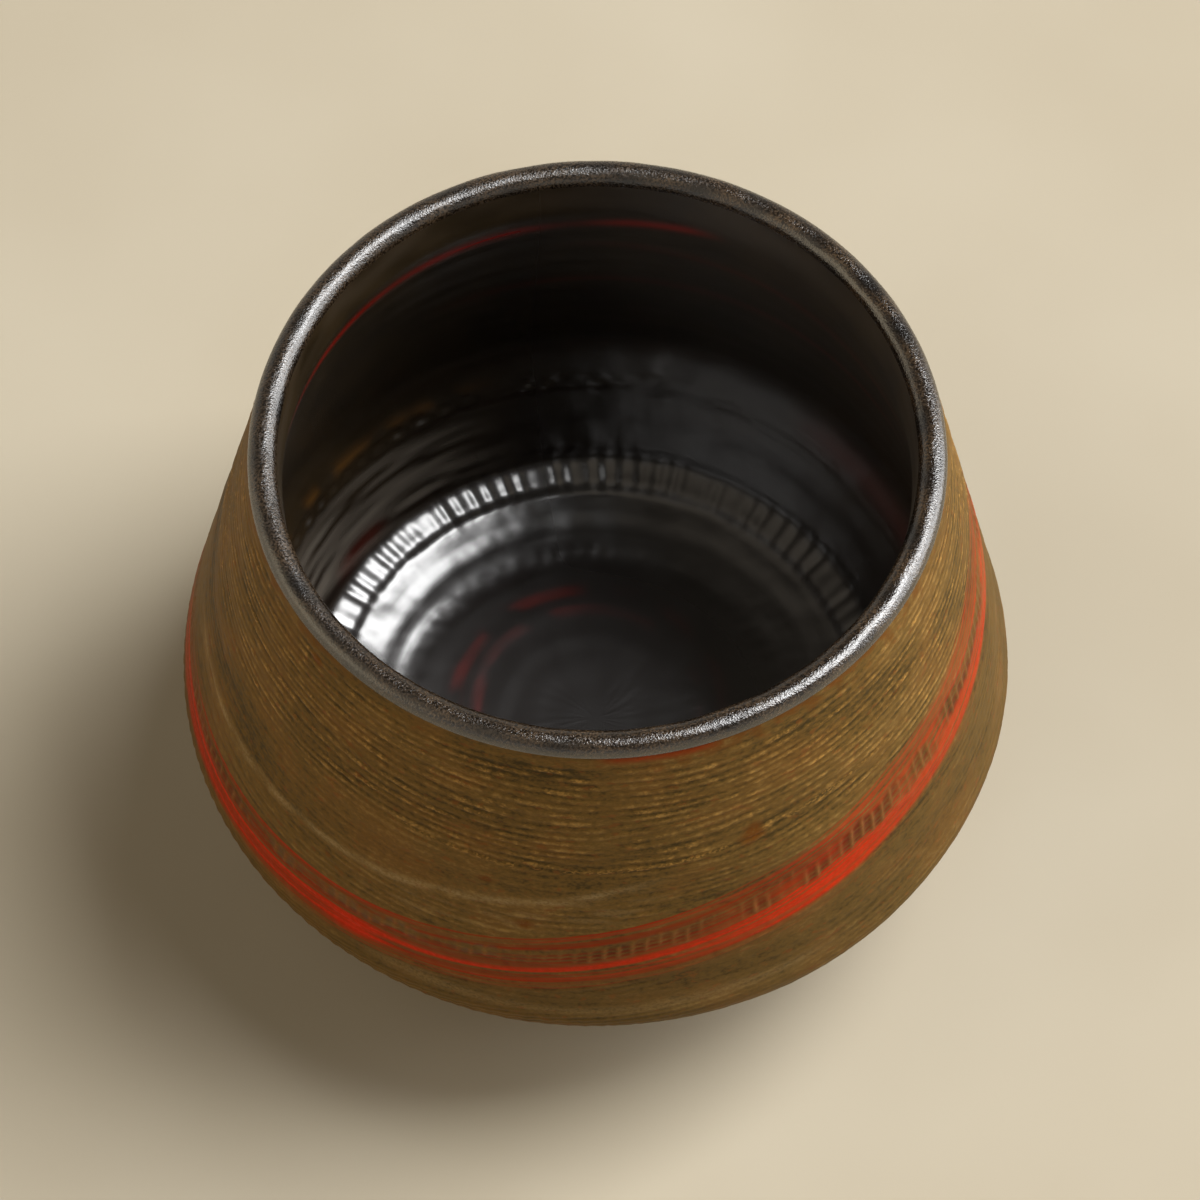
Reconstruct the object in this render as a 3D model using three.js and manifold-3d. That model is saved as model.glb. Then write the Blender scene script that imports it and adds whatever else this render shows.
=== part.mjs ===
// A small handleless stoneware cup: a thrown clay body that flares from a narrow rim to a low, tightly turned belly,
// lined with black glaze, with a black lip and a combed slip outside that a red band crosses on a slant.
// Millimetres, +Z up. The origin is on the axis, level with the face the foot rests on, and the front faces -Y.
import * as THREE from "three";
import { mergeVertices } from "three/addons/utils/BufferGeometryUtils.js";
import Module from "manifold-3d";

const wasm = await Module();
wasm.setup();

// Outside of the finished cup
const RIM_RADIUS = 30; // outer edge of the lip, where the slip begins
const RIM_HEIGHT = 55; // level of that edge
const BELLY_RADIUS = 37.8; // widest line of the body
const BELLY_HEIGHT = 20.8; // level of the widest line
const BELLY_TURN = 4; // radius of the turn from the upper to the lower wall
const SKIRT_RADIUS = 26.5; // lower edge of the slip, above the foot

// Thickness of the finished cup, from which the hollow follows
const LIP_THICKNESS = 2.4; // across the rounded lip
const THROAT_DEPTH = 4; // from the edge of the lip down to the narrowest line of the hollow
const THROAT_WALL = 3.7; // across the wall at that line
const BELLY_WALL = 5; // from the widest line of the hollow to the widest line of the body
const BOWL_RISE = 2.2; // the widest line of the hollow lies this much above that of the body
const BOWL_TURN = 6; // radius of the turn of the hollow there
const FLOOR_THICKNESS = 4.5; // between the hollow inside the foot and the bowl
const FLOOR_MARGIN = 10.5; // from the flat of the floor out to the skirt
const DISH_RADIUS = 25; // of the shallow dish round the flat
const DISH_SLOPE = 18; // degrees, at the edge of the dish
const FLOOR_TURN = 8; // radius between the dish and the wall

// Foot ring, turned from the clay of the body
const FOOT_HEIGHT = 4.2; // from the resting face to the edge of the slip
const FOOT_TAPER = 0.75; // the ring narrows by this much from the slip to the resting face
const FOOT_WIDTH = 4.4; // width of the ring at the resting face
const FOOT_BEVEL = 0.6; // softened edges of the ring
const FOOT_RECESS = 3; // depth of the hollow inside the ring
const FOOT_RECESS_TAPER = 1; // the hollow narrows by this much towards its ceiling

// Coats on the clay
const SLIP_THICKNESS = 0.5;
const GLAZE_THICKNESS = 0.5;
const BOND_CLEARANCE = 0.02; // between a coat and the clay under it
const SEAM_CLEARANCE = 0.06; // between two coats that meet edge to edge

// Red band: the outer slip between two tilted planes
const BAND_HEIGHT = 27.7; // where the lower plane crosses the axis
const BAND_WIDTH = 7.3; // from the lower to the upper plane, along the axis
const BAND_BOTTOM_TILT = 8.8; // degrees
const BAND_TOP_TILT = 12; // degrees
const BAND_HIGH_SIDE = 18.5; // degrees from +X towards +Y

// Fineness of the facets
const ROUND_SEGMENTS = 60;
const ARC_STEPS = 5;
const WELD_DISTANCE = 1e-4; // vertices closer than this are one

// Round turns of the outer profile: centre and radius, with a corner as a turn of no radius
const outerRim = { r: RIM_RADIUS, z: RIM_HEIGHT, radius: 0 };
const outerBelly = { r: BELLY_RADIUS - BELLY_TURN, z: BELLY_HEIGHT, radius: BELLY_TURN };
const outerSkirt = { r: SKIRT_RADIUS, z: FOOT_HEIGHT, radius: 0 };

// Round turns of the hollow
const floorLevel = FOOT_RECESS + FLOOR_THICKNESS;
const throatOutside = RIM_RADIUS + THROAT_DEPTH * Math.tan(facing(outerRim, outerBelly));
const innerThroat = { r: throatOutside - THROAT_WALL, z: RIM_HEIGHT - THROAT_DEPTH, radius: 0 };
const innerBelly = {
  r: BELLY_RADIUS - BELLY_WALL - BOWL_TURN,
  z: BELLY_HEIGHT + BOWL_RISE,
  radius: BOWL_TURN,
};
const FLOOR_FACING = -Math.PI / 2;
const dishFacing = FLOOR_FACING + THREE.MathUtils.degToRad(DISH_SLOPE);
const innerDish = { r: SKIRT_RADIUS - FLOOR_MARGIN, z: floorLevel + DISH_RADIUS, radius: DISH_RADIUS };
const innerFloor = {
  r: innerDish.r + (DISH_RADIUS - FLOOR_TURN) * Math.cos(dishFacing),
  z: innerDish.z + (DISH_RADIUS - FLOOR_TURN) * Math.sin(dishFacing),
  radius: FLOOR_TURN,
};

// Direction square to the straight run that touches two turns on their outer side, the upper turn given first.
function facing(upper, lower) {
  const r = upper.r - lower.r;
  const z = upper.z - lower.z;
  return Math.atan2(z, r) - Math.acos((lower.radius - upper.radius) / Math.hypot(r, z));
}

// Points along a turn from one facing to the next, moved outwards by a distance.
function turnPoints(turn, from, to, outwards) {
  const radius = turn.radius + outwards;
  return Array.from({ length: ARC_STEPS + 1 }, (_, i) => {
    const angle = from + ((to - from) * i) / ARC_STEPS;
    return new THREE.Vector2(turn.r + radius * Math.cos(angle), turn.z + radius * Math.sin(angle));
  });
}

// Where a straight run that passes through a corner, moved outwards by a distance, has the corner's level.
function cornerPoint(corner, angle, outwards) {
  return new THREE.Vector2(corner.r + outwards / Math.cos(angle), corner.z);
}

// Outer profile from the rim down to the skirt, moved into the wall by a distance.
function outerProfile(inset) {
  const upper = facing(outerRim, outerBelly);
  const lower = facing(outerBelly, outerSkirt);
  return [
    cornerPoint(outerRim, upper, -inset),
    ...turnPoints(outerBelly, upper, lower, -inset),
    cornerPoint(outerSkirt, lower, -inset),
  ];
}

// Inner profile from the lip down to the middle of the floor, moved into the wall by a distance.
function innerProfile(inset) {
  const upper = facing(innerThroat, innerBelly);
  const lower = facing(innerBelly, innerFloor);
  return [
    new THREE.Vector2(RIM_RADIUS - LIP_THICKNESS + inset, RIM_HEIGHT),
    cornerPoint(innerThroat, upper, inset),
    ...turnPoints(innerBelly, upper, lower, inset),
    ...turnPoints(innerFloor, lower, dishFacing, inset),
    ...turnPoints(innerDish, dishFacing, FLOOR_FACING, inset).slice(1),
    new THREE.Vector2(0, floorLevel - inset),
  ];
}

// Half-round cap between two radii at the level of the rim, from its inner to its outer side.
function lipArc(innerRadius, outerRadius) {
  const cap = { r: (innerRadius + outerRadius) / 2, z: RIM_HEIGHT, radius: (outerRadius - innerRadius) / 2 };
  return turnPoints(cap, Math.PI, 0, 0);
}

// Foot ring from below the edge of the slip down to the resting face and in to the middle of its hollow.
function footProfile(skirtRadius) {
  const outer = skirtRadius - FOOT_TAPER;
  const inner = outer - FOOT_WIDTH;
  return [
    new THREE.Vector2(outer, FOOT_BEVEL),
    new THREE.Vector2(outer - FOOT_BEVEL, 0),
    new THREE.Vector2(inner + FOOT_BEVEL, 0),
    new THREE.Vector2(inner, FOOT_BEVEL),
    new THREE.Vector2(inner - FOOT_RECESS_TAPER, FOOT_RECESS),
    new THREE.Vector2(0, FOOT_RECESS),
  ];
}

// Solid of revolution about Z from a profile of radius and height.
function revolve(points) {
  return new THREE.LatheGeometry(points, ROUND_SEGMENTS).rotateX(Math.PI / 2);
}

// Ring whose section is one line of points out and a second line back to the start.
function revolveRing(there, back) {
  return revolve([...there, ...back, there[0]]);
}

function clayBody() {
  const inside = innerProfile(GLAZE_THICKNESS);
  const outside = outerProfile(SLIP_THICKNESS);
  const lip = lipArc(inside[0].x, outside[0].x);
  const foot = footProfile(outside.at(-1).x);
  const profile = [...inside.reverse(), ...lip.slice(1, -1), ...outside, ...foot];
  return revolve(profile.reverse());
}

function innerGlaze() {
  const surface = innerProfile(0);
  const underside = innerProfile(GLAZE_THICKNESS - BOND_CLEARANCE);
  return revolve([...underside.reverse(), ...surface]);
}

function lipGlaze() {
  const clayInner = innerProfile(GLAZE_THICKNESS)[0].x;
  const clayOuter = outerProfile(SLIP_THICKNESS)[0].x;
  const surface = lipArc(RIM_RADIUS - LIP_THICKNESS, RIM_RADIUS);
  const underside = lipArc(clayInner - BOND_CLEARANCE, clayOuter + BOND_CLEARANCE);
  return revolveRing(underside, surface.reverse()).translate(0, 0, SEAM_CLEARANCE);
}

// Whole outer slip, from the rim to the skirt, before the band divides it.
function outerSlip() {
  const surface = outerProfile(0);
  const underside = outerProfile(SLIP_THICKNESS - BOND_CLEARANCE);
  return revolveRing(underside, surface.reverse());
}

function solidFrom(geometry) {
  const bare = new THREE.BufferGeometry();
  bare.setAttribute("position", geometry.toNonIndexed().getAttribute("position"));
  const welded = mergeVertices(bare, WELD_DISTANCE);
  return new wasm.Manifold(
    new wasm.Mesh({
      numProp: 3,
      vertProperties: welded.getAttribute("position").array,
      triVerts: new Uint32Array(welded.index.array),
    }),
  );
}

function geometryFrom(solid) {
  const { vertProperties, triVerts } = solid.getMesh();
  const geometry = new THREE.BufferGeometry();
  geometry.setAttribute("position", new THREE.BufferAttribute(vertProperties, 3));
  geometry.setIndex(new THREE.BufferAttribute(triVerts, 1));
  geometry.computeVertexNormals();
  return geometry;
}

// Everything above a plane that crosses the axis at a height and rises towards the band's high side,
// as a block large enough to hold the cup whichever way it is tilted.
function spaceAbove(height, tilt) {
  const side = 2 * (RIM_HEIGHT + 2 * BELLY_RADIUS);
  const block = new THREE.BoxGeometry(side, side, side);
  block.translate(0, 0, side / 2);
  block.rotateY(-THREE.MathUtils.degToRad(tilt));
  block.rotateZ(THREE.MathUtils.degToRad(BAND_HIGH_SIDE));
  block.translate(0, 0, height);
  return solidFrom(block);
}

function part(name, geometry, color, roughness) {
  const mesh = new THREE.Mesh(geometry, new THREE.MeshStandardMaterial({ color, roughness, metalness: 0 }));
  mesh.name = name;
  return mesh;
}

const slip = solidFrom(outerSlip());
const halfSeam = SEAM_CLEARANCE / 2;
const bandTop = BAND_HEIGHT + BAND_WIDTH;
const upperSlip = slip.intersect(spaceAbove(bandTop + halfSeam, BAND_TOP_TILT));
const redBand = slip
  .subtract(spaceAbove(bandTop - halfSeam, BAND_TOP_TILT))
  .intersect(spaceAbove(BAND_HEIGHT + halfSeam, BAND_BOTTOM_TILT));
const lowerSlip = slip.subtract(spaceAbove(BAND_HEIGHT - halfSeam, BAND_BOTTOM_TILT));

const cup = new THREE.Group();
cup.name = "ceramic_cup";
cup.add(
  part("clay_body", clayBody(), 0x6b4a35, 0.85),
  part("inner_glaze", innerGlaze(), 0x14110f, 0.2),
  part("lip_glaze", lipGlaze(), 0x1b1817, 0.4),
  part("upper_slip", geometryFrom(upperSlip), 0x57462a, 0.7),
  part("red_band", geometryFrom(redBand), 0xa92f17, 0.65),
  part("lower_slip", geometryFrom(lowerSlip), 0x463621, 0.7),
);

export default cup;
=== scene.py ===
import math

import bpy
import numpy as np
from mathutils import Matrix, Vector


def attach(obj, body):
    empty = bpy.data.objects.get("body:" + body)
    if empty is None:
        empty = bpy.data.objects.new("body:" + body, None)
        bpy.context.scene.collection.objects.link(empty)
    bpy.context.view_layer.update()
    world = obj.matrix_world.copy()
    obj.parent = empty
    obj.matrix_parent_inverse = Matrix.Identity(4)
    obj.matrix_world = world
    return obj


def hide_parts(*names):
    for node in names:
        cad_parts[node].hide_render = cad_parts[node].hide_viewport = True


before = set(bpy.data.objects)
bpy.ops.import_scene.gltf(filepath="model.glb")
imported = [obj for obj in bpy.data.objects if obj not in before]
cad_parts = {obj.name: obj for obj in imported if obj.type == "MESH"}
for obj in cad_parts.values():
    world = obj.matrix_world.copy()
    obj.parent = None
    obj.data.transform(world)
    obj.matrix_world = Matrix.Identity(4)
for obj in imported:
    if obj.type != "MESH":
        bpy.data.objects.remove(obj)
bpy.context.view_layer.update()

MM = 0.001  # metres in a millimetre; every length below is in millimetres
FULL_TURN = 2 * math.pi
QUARTER_TURN = math.pi / 2

# Outside of the cup
RIM_RADIUS = 30.0
RIM_HEIGHT = 55.0
BELLY_RADIUS = 37.8
BELLY_HEIGHT = 20.8
BELLY_TURN = 4.0
SKIRT_RADIUS = 26.5

# Thickness, from which the hollow follows
LIP_THICKNESS = 2.4
THROAT_DEPTH = 4.0
THROAT_WALL = 3.7
THROAT_TURN = 9.0
BELLY_WALL = 5.0
BOWL_RISE = 2.2
BOWL_TURN = 6.0
FLOOR_THICKNESS = 4.5
FLOOR_MARGIN = 10.5
DISH_RADIUS = 25.0
DISH_SLOPE = math.radians(18)
FLOOR_TURN = 8.0

# Foot ring
FOOT_HEIGHT = 4.2
FOOT_TAPER = 0.75
FOOT_WIDTH = 4.4
FOOT_BEVEL = 0.6
FOOT_RECESS = 3.0
FOOT_RECESS_TAPER = 1.0

# Coats
COAT = 0.5
BOND = 0.02

# Red band: the outside between two tilted planes
BAND_HEIGHT = 27.7
BAND_WIDTH = 7.3
BAND_BOTTOM_TILT = math.radians(8.8)
BAND_TOP_TILT = math.radians(12)
BAND_HIGH_SIDE = math.radians(18.5)

# Wheel: amount, waves per turn and phase of the slow unevenness of the radius and of the height
SWELL_WAVES = ((0.07, 2, 0.6), (0.05, 3, 2.0), (0.03, 5, 0.0))
LIFT_WAVES = ((0.06, 2, 2.4), (0.05, 3, 0.3))

# Fineness of the grids: rings of the surface, columns round the cup, and rings of a coat's underside
UPPER_GRID = (200, 472, 5)
LOWER_GRID = (188, 472, 20)
BAND_GRID = (62, 1440, 4)
INNER_GRID = (130, 640, 24)
LIP_GRID = (44, 900, 10)
CLAY_GRID = (60, 240)
CLAY_RIM_RINGS = 12
FIRST_RING = 1.2  # from the middle of a floor to the first ring round it
PROFILE_STEPS = 8000
SHARP_EDGE = math.radians(50)  # a sharper edge than this isn't smoothed


# Walls


def facing(upper, lower):
    """Direction square to the straight run that touches two turns, each a centre's radius and height and a
    bend: the direction of the line of centres less the angle whose cosine is the difference of bends over
    the line's length."""
    r = upper[0] - lower[0]
    z = upper[1] - lower[1]
    return math.atan2(z, r) - math.acos((lower[2] - upper[2]) / math.hypot(r, z))


def run_length(upper, lower):
    """Length of that run: the root of the squared distance of the centres less the squared difference of
    bends."""
    r = upper[0] - lower[0]
    z = upper[1] - lower[1]
    return math.sqrt(r * r + z * z - (upper[2] - lower[2]) ** 2)


def rounded_line(points, bends):
    """Stretches of a line through points: straight runs, and at each inner point an arc of its bend's radius,
    whose tangents take the bend times the tangent of half the turn off the runs beside it."""
    steps = np.diff(np.array(points, float), axis=0)
    heading = np.unwrap(np.arctan2(steps[:, 1], steps[:, 0]))
    length = np.hypot(steps[:, 0], steps[:, 1])
    turn = np.diff(heading)
    cut = np.array(bends) * np.tan(np.abs(turn) / 2)
    length[:-1] -= cut
    length[1:] -= cut
    stretches = [(length[0], heading[0], heading[0])]
    for i, bend in enumerate(bends):
        stretches.append((bend * abs(turn[i]), heading[i], heading[i + 1]))
        stretches.append((length[i + 1], heading[i + 1], heading[i + 1]))
    return stretches


def wall_profile(start, stretches):
    """Length, radius, height and heading along a wall. The heading goes evenly from one value to another
    along each stretch, and radius and height are the running sums of its cosine and sine."""
    ends = np.cumsum([0.0] + [length for length, _, _ in stretches])
    knots = np.repeat(ends, 2)[1:-1]
    headings = np.array([heading for stretch in stretches for heading in stretch[1:]])
    along = np.linspace(0, ends[-1], PROFILE_STEPS)
    heading = np.interp(along, knots, headings)
    step = along[1]
    between = (heading[1:] + heading[:-1]) / 2
    radius = start[0] + np.concatenate([[0], np.cumsum(np.cos(between))]) * step
    height = start[1] + np.concatenate([[0], np.cumsum(np.sin(between))]) * step
    return along, radius, height, heading


def on_wall(wall, along, raised, side):
    """Radius and height at a length along a wall, moved square to it by a distance: that distance times the
    cosine and sine of the heading turned a quarter turn to the open side."""
    square = np.interp(along, wall[0], wall[3]) + side * QUARTER_TURN
    radius = np.interp(along, wall[0], wall[1]) + raised * np.cos(square)
    height = np.interp(along, wall[0], wall[2]) + raised * np.sin(square)
    return radius, height


OUTSIDE = 1  # the open side of the outer wall lies to the left of its heading
INSIDE = -1  # and that of the inner wall to the right
rim = (RIM_RADIUS, RIM_HEIGHT, 0.0)
belly = (BELLY_RADIUS - BELLY_TURN, BELLY_HEIGHT, BELLY_TURN)
skirt = (SKIRT_RADIUS, FOOT_HEIGHT, 0.0)
upper_facing = facing(rim, belly)
lower_facing = facing(belly, skirt)
cone_length = run_length(rim, belly)
belly_length = BELLY_TURN * (upper_facing - lower_facing)
outer_wall = wall_profile(
    rim,
    [
        (cone_length, upper_facing - QUARTER_TURN, upper_facing - QUARTER_TURN),
        (belly_length, upper_facing - QUARTER_TURN, lower_facing - QUARTER_TURN),
        (run_length(belly, skirt), lower_facing - QUARTER_TURN, lower_facing - QUARTER_TURN),
    ],
)
outer_length = outer_wall[0][-1]

floor_level = FOOT_RECESS + FLOOR_THICKNESS
throat = (RIM_RADIUS + THROAT_DEPTH * math.tan(upper_facing) - THROAT_WALL, RIM_HEIGHT - THROAT_DEPTH, 0.0)
bowl = (BELLY_RADIUS - BELLY_WALL - BOWL_TURN, BELLY_HEIGHT + BOWL_RISE, BOWL_TURN)
flat_radius = SKIRT_RADIUS - FLOOR_MARGIN
bowl_floor = (
    flat_radius + (DISH_RADIUS - FLOOR_TURN) * math.sin(DISH_SLOPE),
    floor_level + DISH_RADIUS - (DISH_RADIUS - FLOOR_TURN) * math.cos(DISH_SLOPE),
    FLOOR_TURN,
)
bowl_facing = facing(throat, bowl)
under_facing = facing(bowl, bowl_floor)
mouth_edge = (RIM_RADIUS - LIP_THICKNESS, RIM_HEIGHT)
bowl_top = (
    throat[0] + run_length(throat, bowl) * math.sin(bowl_facing),
    throat[1] - run_length(throat, bowl) * math.cos(bowl_facing),
)
inner_wall = wall_profile(
    mouth_edge,
    rounded_line([mouth_edge, throat[:2], bowl_top], [THROAT_TURN])
    + [
        (BOWL_TURN * (bowl_facing - under_facing), bowl_facing - QUARTER_TURN, under_facing - QUARTER_TURN),
        (run_length(bowl, bowl_floor), under_facing - QUARTER_TURN, under_facing - QUARTER_TURN),
        (
            FLOOR_TURN * (under_facing + QUARTER_TURN - DISH_SLOPE),
            under_facing - QUARTER_TURN,
            DISH_SLOPE - 2 * QUARTER_TURN,
        ),
        (DISH_RADIUS * DISH_SLOPE, DISH_SLOPE - 2 * QUARTER_TURN, -2 * QUARTER_TURN),
        (flat_radius, -2 * QUARTER_TURN, -2 * QUARTER_TURN),
    ],
)
inner_length = inner_wall[0][-1]


def band_edge(theta, height, tilt):
    """Length down the straight upper wall at which a tilted plane crosses it: the drop from the rim to the
    plane over the wall's fall towards the plane, both taken in the column's own direction."""
    slope = math.tan(tilt) * np.sin(theta - BAND_HIGH_SIDE)
    drop = RIM_HEIGHT - height - slope * RIM_RADIUS
    return drop / (math.cos(upper_facing) + slope * math.sin(upper_facing))


def band_top(theta):
    """Length down the wall to the band's upper edge, where the upper plane crosses it."""
    return band_edge(theta, BAND_HEIGHT + BAND_WIDTH, BAND_TOP_TILT)


def band_bottom(theta):
    """Length down the wall to the band's lower edge, where the lower plane crosses it."""
    return band_edge(theta, BAND_HEIGHT, BAND_BOTTOM_TILT)


# Patterns


def smooth(x, low, high):
    """Eased step from 0 at low to 1 at high: three times the square of the share less twice its cube."""
    share = np.clip((x - low) / (high - low), 0, 1)
    return share * share * (3 - 2 * share)


def hump(x, centre, width):
    """Bell curve: the exponential of the negative square of the distance over the width."""
    return np.exp(-(((x - centre) / width) ** 2))


def away(theta, degrees):
    """Degrees from a direction, the shorter way round, positive towards +X at the front."""
    return (np.degrees(theta) - degrees + 180) % 360 - 180


def arc(theta, start, end, fade):
    """1 between two directions in degrees, going round from start to end, easing to 0 over fade degrees."""
    half = ((end - start) % 360) / 2
    return 1 - smooth(np.abs(away(theta, start + half)), half, half + fade)


def waves(theta, along, turns, pitch, seed, count=28):
    """Noise that joins up round the cup: a sum of cosines with whole numbers of waves per turn, up to turns,
    and waves along the wall no finer than pitch, scaled to a spread of one."""
    rng = np.random.default_rng(seed)
    number = rng.integers(-turns, turns + 1, count)
    rate = rng.uniform(-1, 1, count) * FULL_TURN / pitch
    phase = rng.uniform(0, FULL_TURN, count)
    total = sum(np.cos(number[i] * theta + rate[i] * along + phase[i]) for i in range(count))
    return total / math.sqrt(count / 2)


def lumps(theta, radius, height, size, seed, count=36):
    """Even lumps of about one size: a sum of cosines of plane waves that run through the cup in random
    directions, scaled to a spread of one."""
    rng = np.random.default_rng(seed)
    way = rng.normal(size=(count, 3))
    way = way / np.linalg.norm(way, axis=1)[:, None] * FULL_TURN / size * rng.uniform(0.6, 1.4, (count, 1))
    phase = rng.uniform(0, FULL_TURN, count)
    x = radius * np.sin(theta)
    y = -radius * np.cos(theta)
    total = sum(np.cos(way[i][0] * x + way[i][1] * y + way[i][2] * height + phase[i]) for i in range(count))
    return total / math.sqrt(count / 2)


def line_breaks(theta, line, turns, seed, lines=256, count=10):
    """How each line of a comb comes and goes: a sum of cosines round the cup whose phases are drawn for each
    line."""
    rng = np.random.default_rng(seed)
    index = np.floor(line + 0.5).astype(int) % lines
    number = rng.integers(turns // 4, turns + 1, count)
    phase = rng.uniform(0, FULL_TURN, (count, lines))
    total = sum(np.cos(number[i] * theta + phase[i][index]) for i in range(count))
    return total / math.sqrt(count / 2)


def ridge(line, sharpness):
    """Ridges at whole line numbers: a raised cosine to a power."""
    return (0.5 + 0.5 * np.cos(FULL_TURN * line)) ** sharpness


# Marks on the outside

COMB_PITCH = 0.86
COMB_WANDER = 0.2
COMB_TOP = (0.6, 2.2)  # lengths down the wall between which the combing sets in
COMB_FOOT = (13.5, 16.5)  # and between which most of it ends
COMB_SAG = 1.4  # the comb's lines dip this much towards the place where they lap
COMB_SAG_SPREAD = 42  # degrees
LAP = 2.5  # degrees from the front to the lap
LAP_WIDTH = 2.6  # degrees
COMB_RELIEF = 0.09
CHATTER_COUNT = 180  # cells round the red band
CHATTER_RELIEF = 0.1
FAN_LINES = 22  # lines between the band and the lower wall
FAN_END = cone_length + belly_length + 6  # length down the wall where they have become level
NICK_COUNT = 150  # nicks round the belly
NICK_RELIEF = 0.1
GREY_RING = 15.3  # length down the wall in the middle of its slant
GREY_RING_SLANT = 8.1
GREY_RING_RELIEF = 0.05
BRONZE_RING = 12.6
BRONZE_RING_DIP = 2.2
BRONZE_RING_RELIEF = 0.06
PALE_LINE = 33.2  # length down the wall, below the band
GRAIN_RELIEF = 0.01
SLOW_RELIEF = 0.05
RUST_SPOTS = (  # direction, length down the wall, half width in degrees, half height
    (24.5, 13.4, 2.1, 1.3),
    (-15.5, 17.2, 1.4, 0.5),
    (-9.5, 22.4, 1.6, 0.7),
    (-50, 2.4, 1.6, 0.7),
    (118, 6.0, 2.0, 1.2),
    (-148, 11.0, 2.4, 1.0),
    (168, 9.0, 1.7, 1.4),
)


def comb_line(theta, along):
    """Line number of the comb: the length down the wall over the pitch, with a dip and half a line's jump at
    the lap, the jump made up evenly round the back."""
    turn = away(theta, LAP)
    sag = COMB_SAG * hump(turn, 0, COMB_SAG_SPREAD)
    wander = COMB_WANDER * waves(theta, along, 5, 7, 11)
    jump = 0.5 * smooth(turn, -LAP_WIDTH, LAP_WIDTH) - 0.5 * (turn + 180) / 360
    return (along - sag + wander) / COMB_PITCH + jump


def comb_marks(theta, along):
    """Combed olive slip: strong broken lines near the rim, a smooth dark wedge below them on the left, and
    weaker lines above the band. Gives the ridges, their strength, and the bronze flecks on them, which are
    partly painted glints, each a product of raised cosines and eased steps."""
    line = comb_line(theta, along)
    breaks = line_breaks(theta, line, 44, 21)
    fine_breaks = line_breaks(theta, line, 230, 22)
    pairs = np.cos(FULL_TURN * line / 2.1 + waves(theta, along, 4, 6, 23))
    grey_ring = grey_ring_place(theta)
    combed = smooth(along, *COMB_TOP) * (1 - 0.75 * smooth(along, *COMB_FOOT))
    above_band = 0.45 * smooth(along, grey_ring + 0.5, grey_ring + 2) * arc(theta, -45, 60, 25)
    lap = 1 - 0.7 * hump(away(theta, LAP), 0, 2.2)
    strength = np.clip(combed + above_band, 0, 1) * lap
    strength = strength * np.clip(0.6 + 0.22 * breaks + 0.14 * pairs, 0.15, 1.1)
    ridges = ridge(line, 1.3) * np.clip(0.85 + 0.2 * fine_breaks, 0.3, 1.2)
    # bronze flecks on the ridges, partly painted glints
    bronze_and_glint = np.clip(0.32 + 0.3 * breaks + 0.25 * fine_breaks, 0, 1) * combed * lap
    return ridges, strength, bronze_and_glint


def grey_ring_place(theta):
    """Length down the wall of the thin grey ring, which slants as the band does: a sine round the cup."""
    return GREY_RING - GREY_RING_SLANT * np.sin(theta - BAND_HIGH_SIDE)


def bronze_ring_place(theta):
    """Length down the wall of the bronze line that closes the combing, with a bell-shaped dip in front."""
    return BRONZE_RING + BRONZE_RING_DIP * hump(away(theta, -4), 0, 34)


def rust_marks(theta, along):
    """Rust: a fringe under the lip, strongest on the right front and the left, soft blotches, and a few
    spots, each an eased step of the distance from its middle."""
    fringe = arc(theta, 14, 62, 8) + 0.75 * arc(theta, -125, -52, 16) + 0.5 * arc(theta, 130, 178, 20)
    radius, height = on_wall(outer_wall, along, 0, OUTSIDE)
    ragged = np.clip(0.75 + 0.7 * lumps(theta, radius, height, 2.0, 31), 0.05, 2)
    rust = 0.7 * np.clip(fringe, 0, 1) * (1 - smooth(along, 0.3 * ragged, 1.7 * ragged))
    blotches = smooth(waves(theta, along, 14, 2.5, 32), 0.9, 2.4) * (1 - smooth(along, 9, 17))
    rust = rust + 0.12 * blotches
    uneven = 1 + 0.14 * lumps(theta, radius, height, 1.8, 33)
    for degrees, down, wide, tall in RUST_SPOTS:
        distance = np.hypot(away(theta, degrees) / wide, (along - down) / tall) * uneven
        rust = np.maximum(rust, 0.9 * (1 - smooth(distance, 0.5, 1.2)))
    return np.clip(rust, 0, 1)


def across_band(theta, along):
    """Place across the band: 0 on its upper edge and 1 on its lower edge."""
    top = band_top(theta)
    return (along - top) / (band_bottom(theta) - top)


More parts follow.
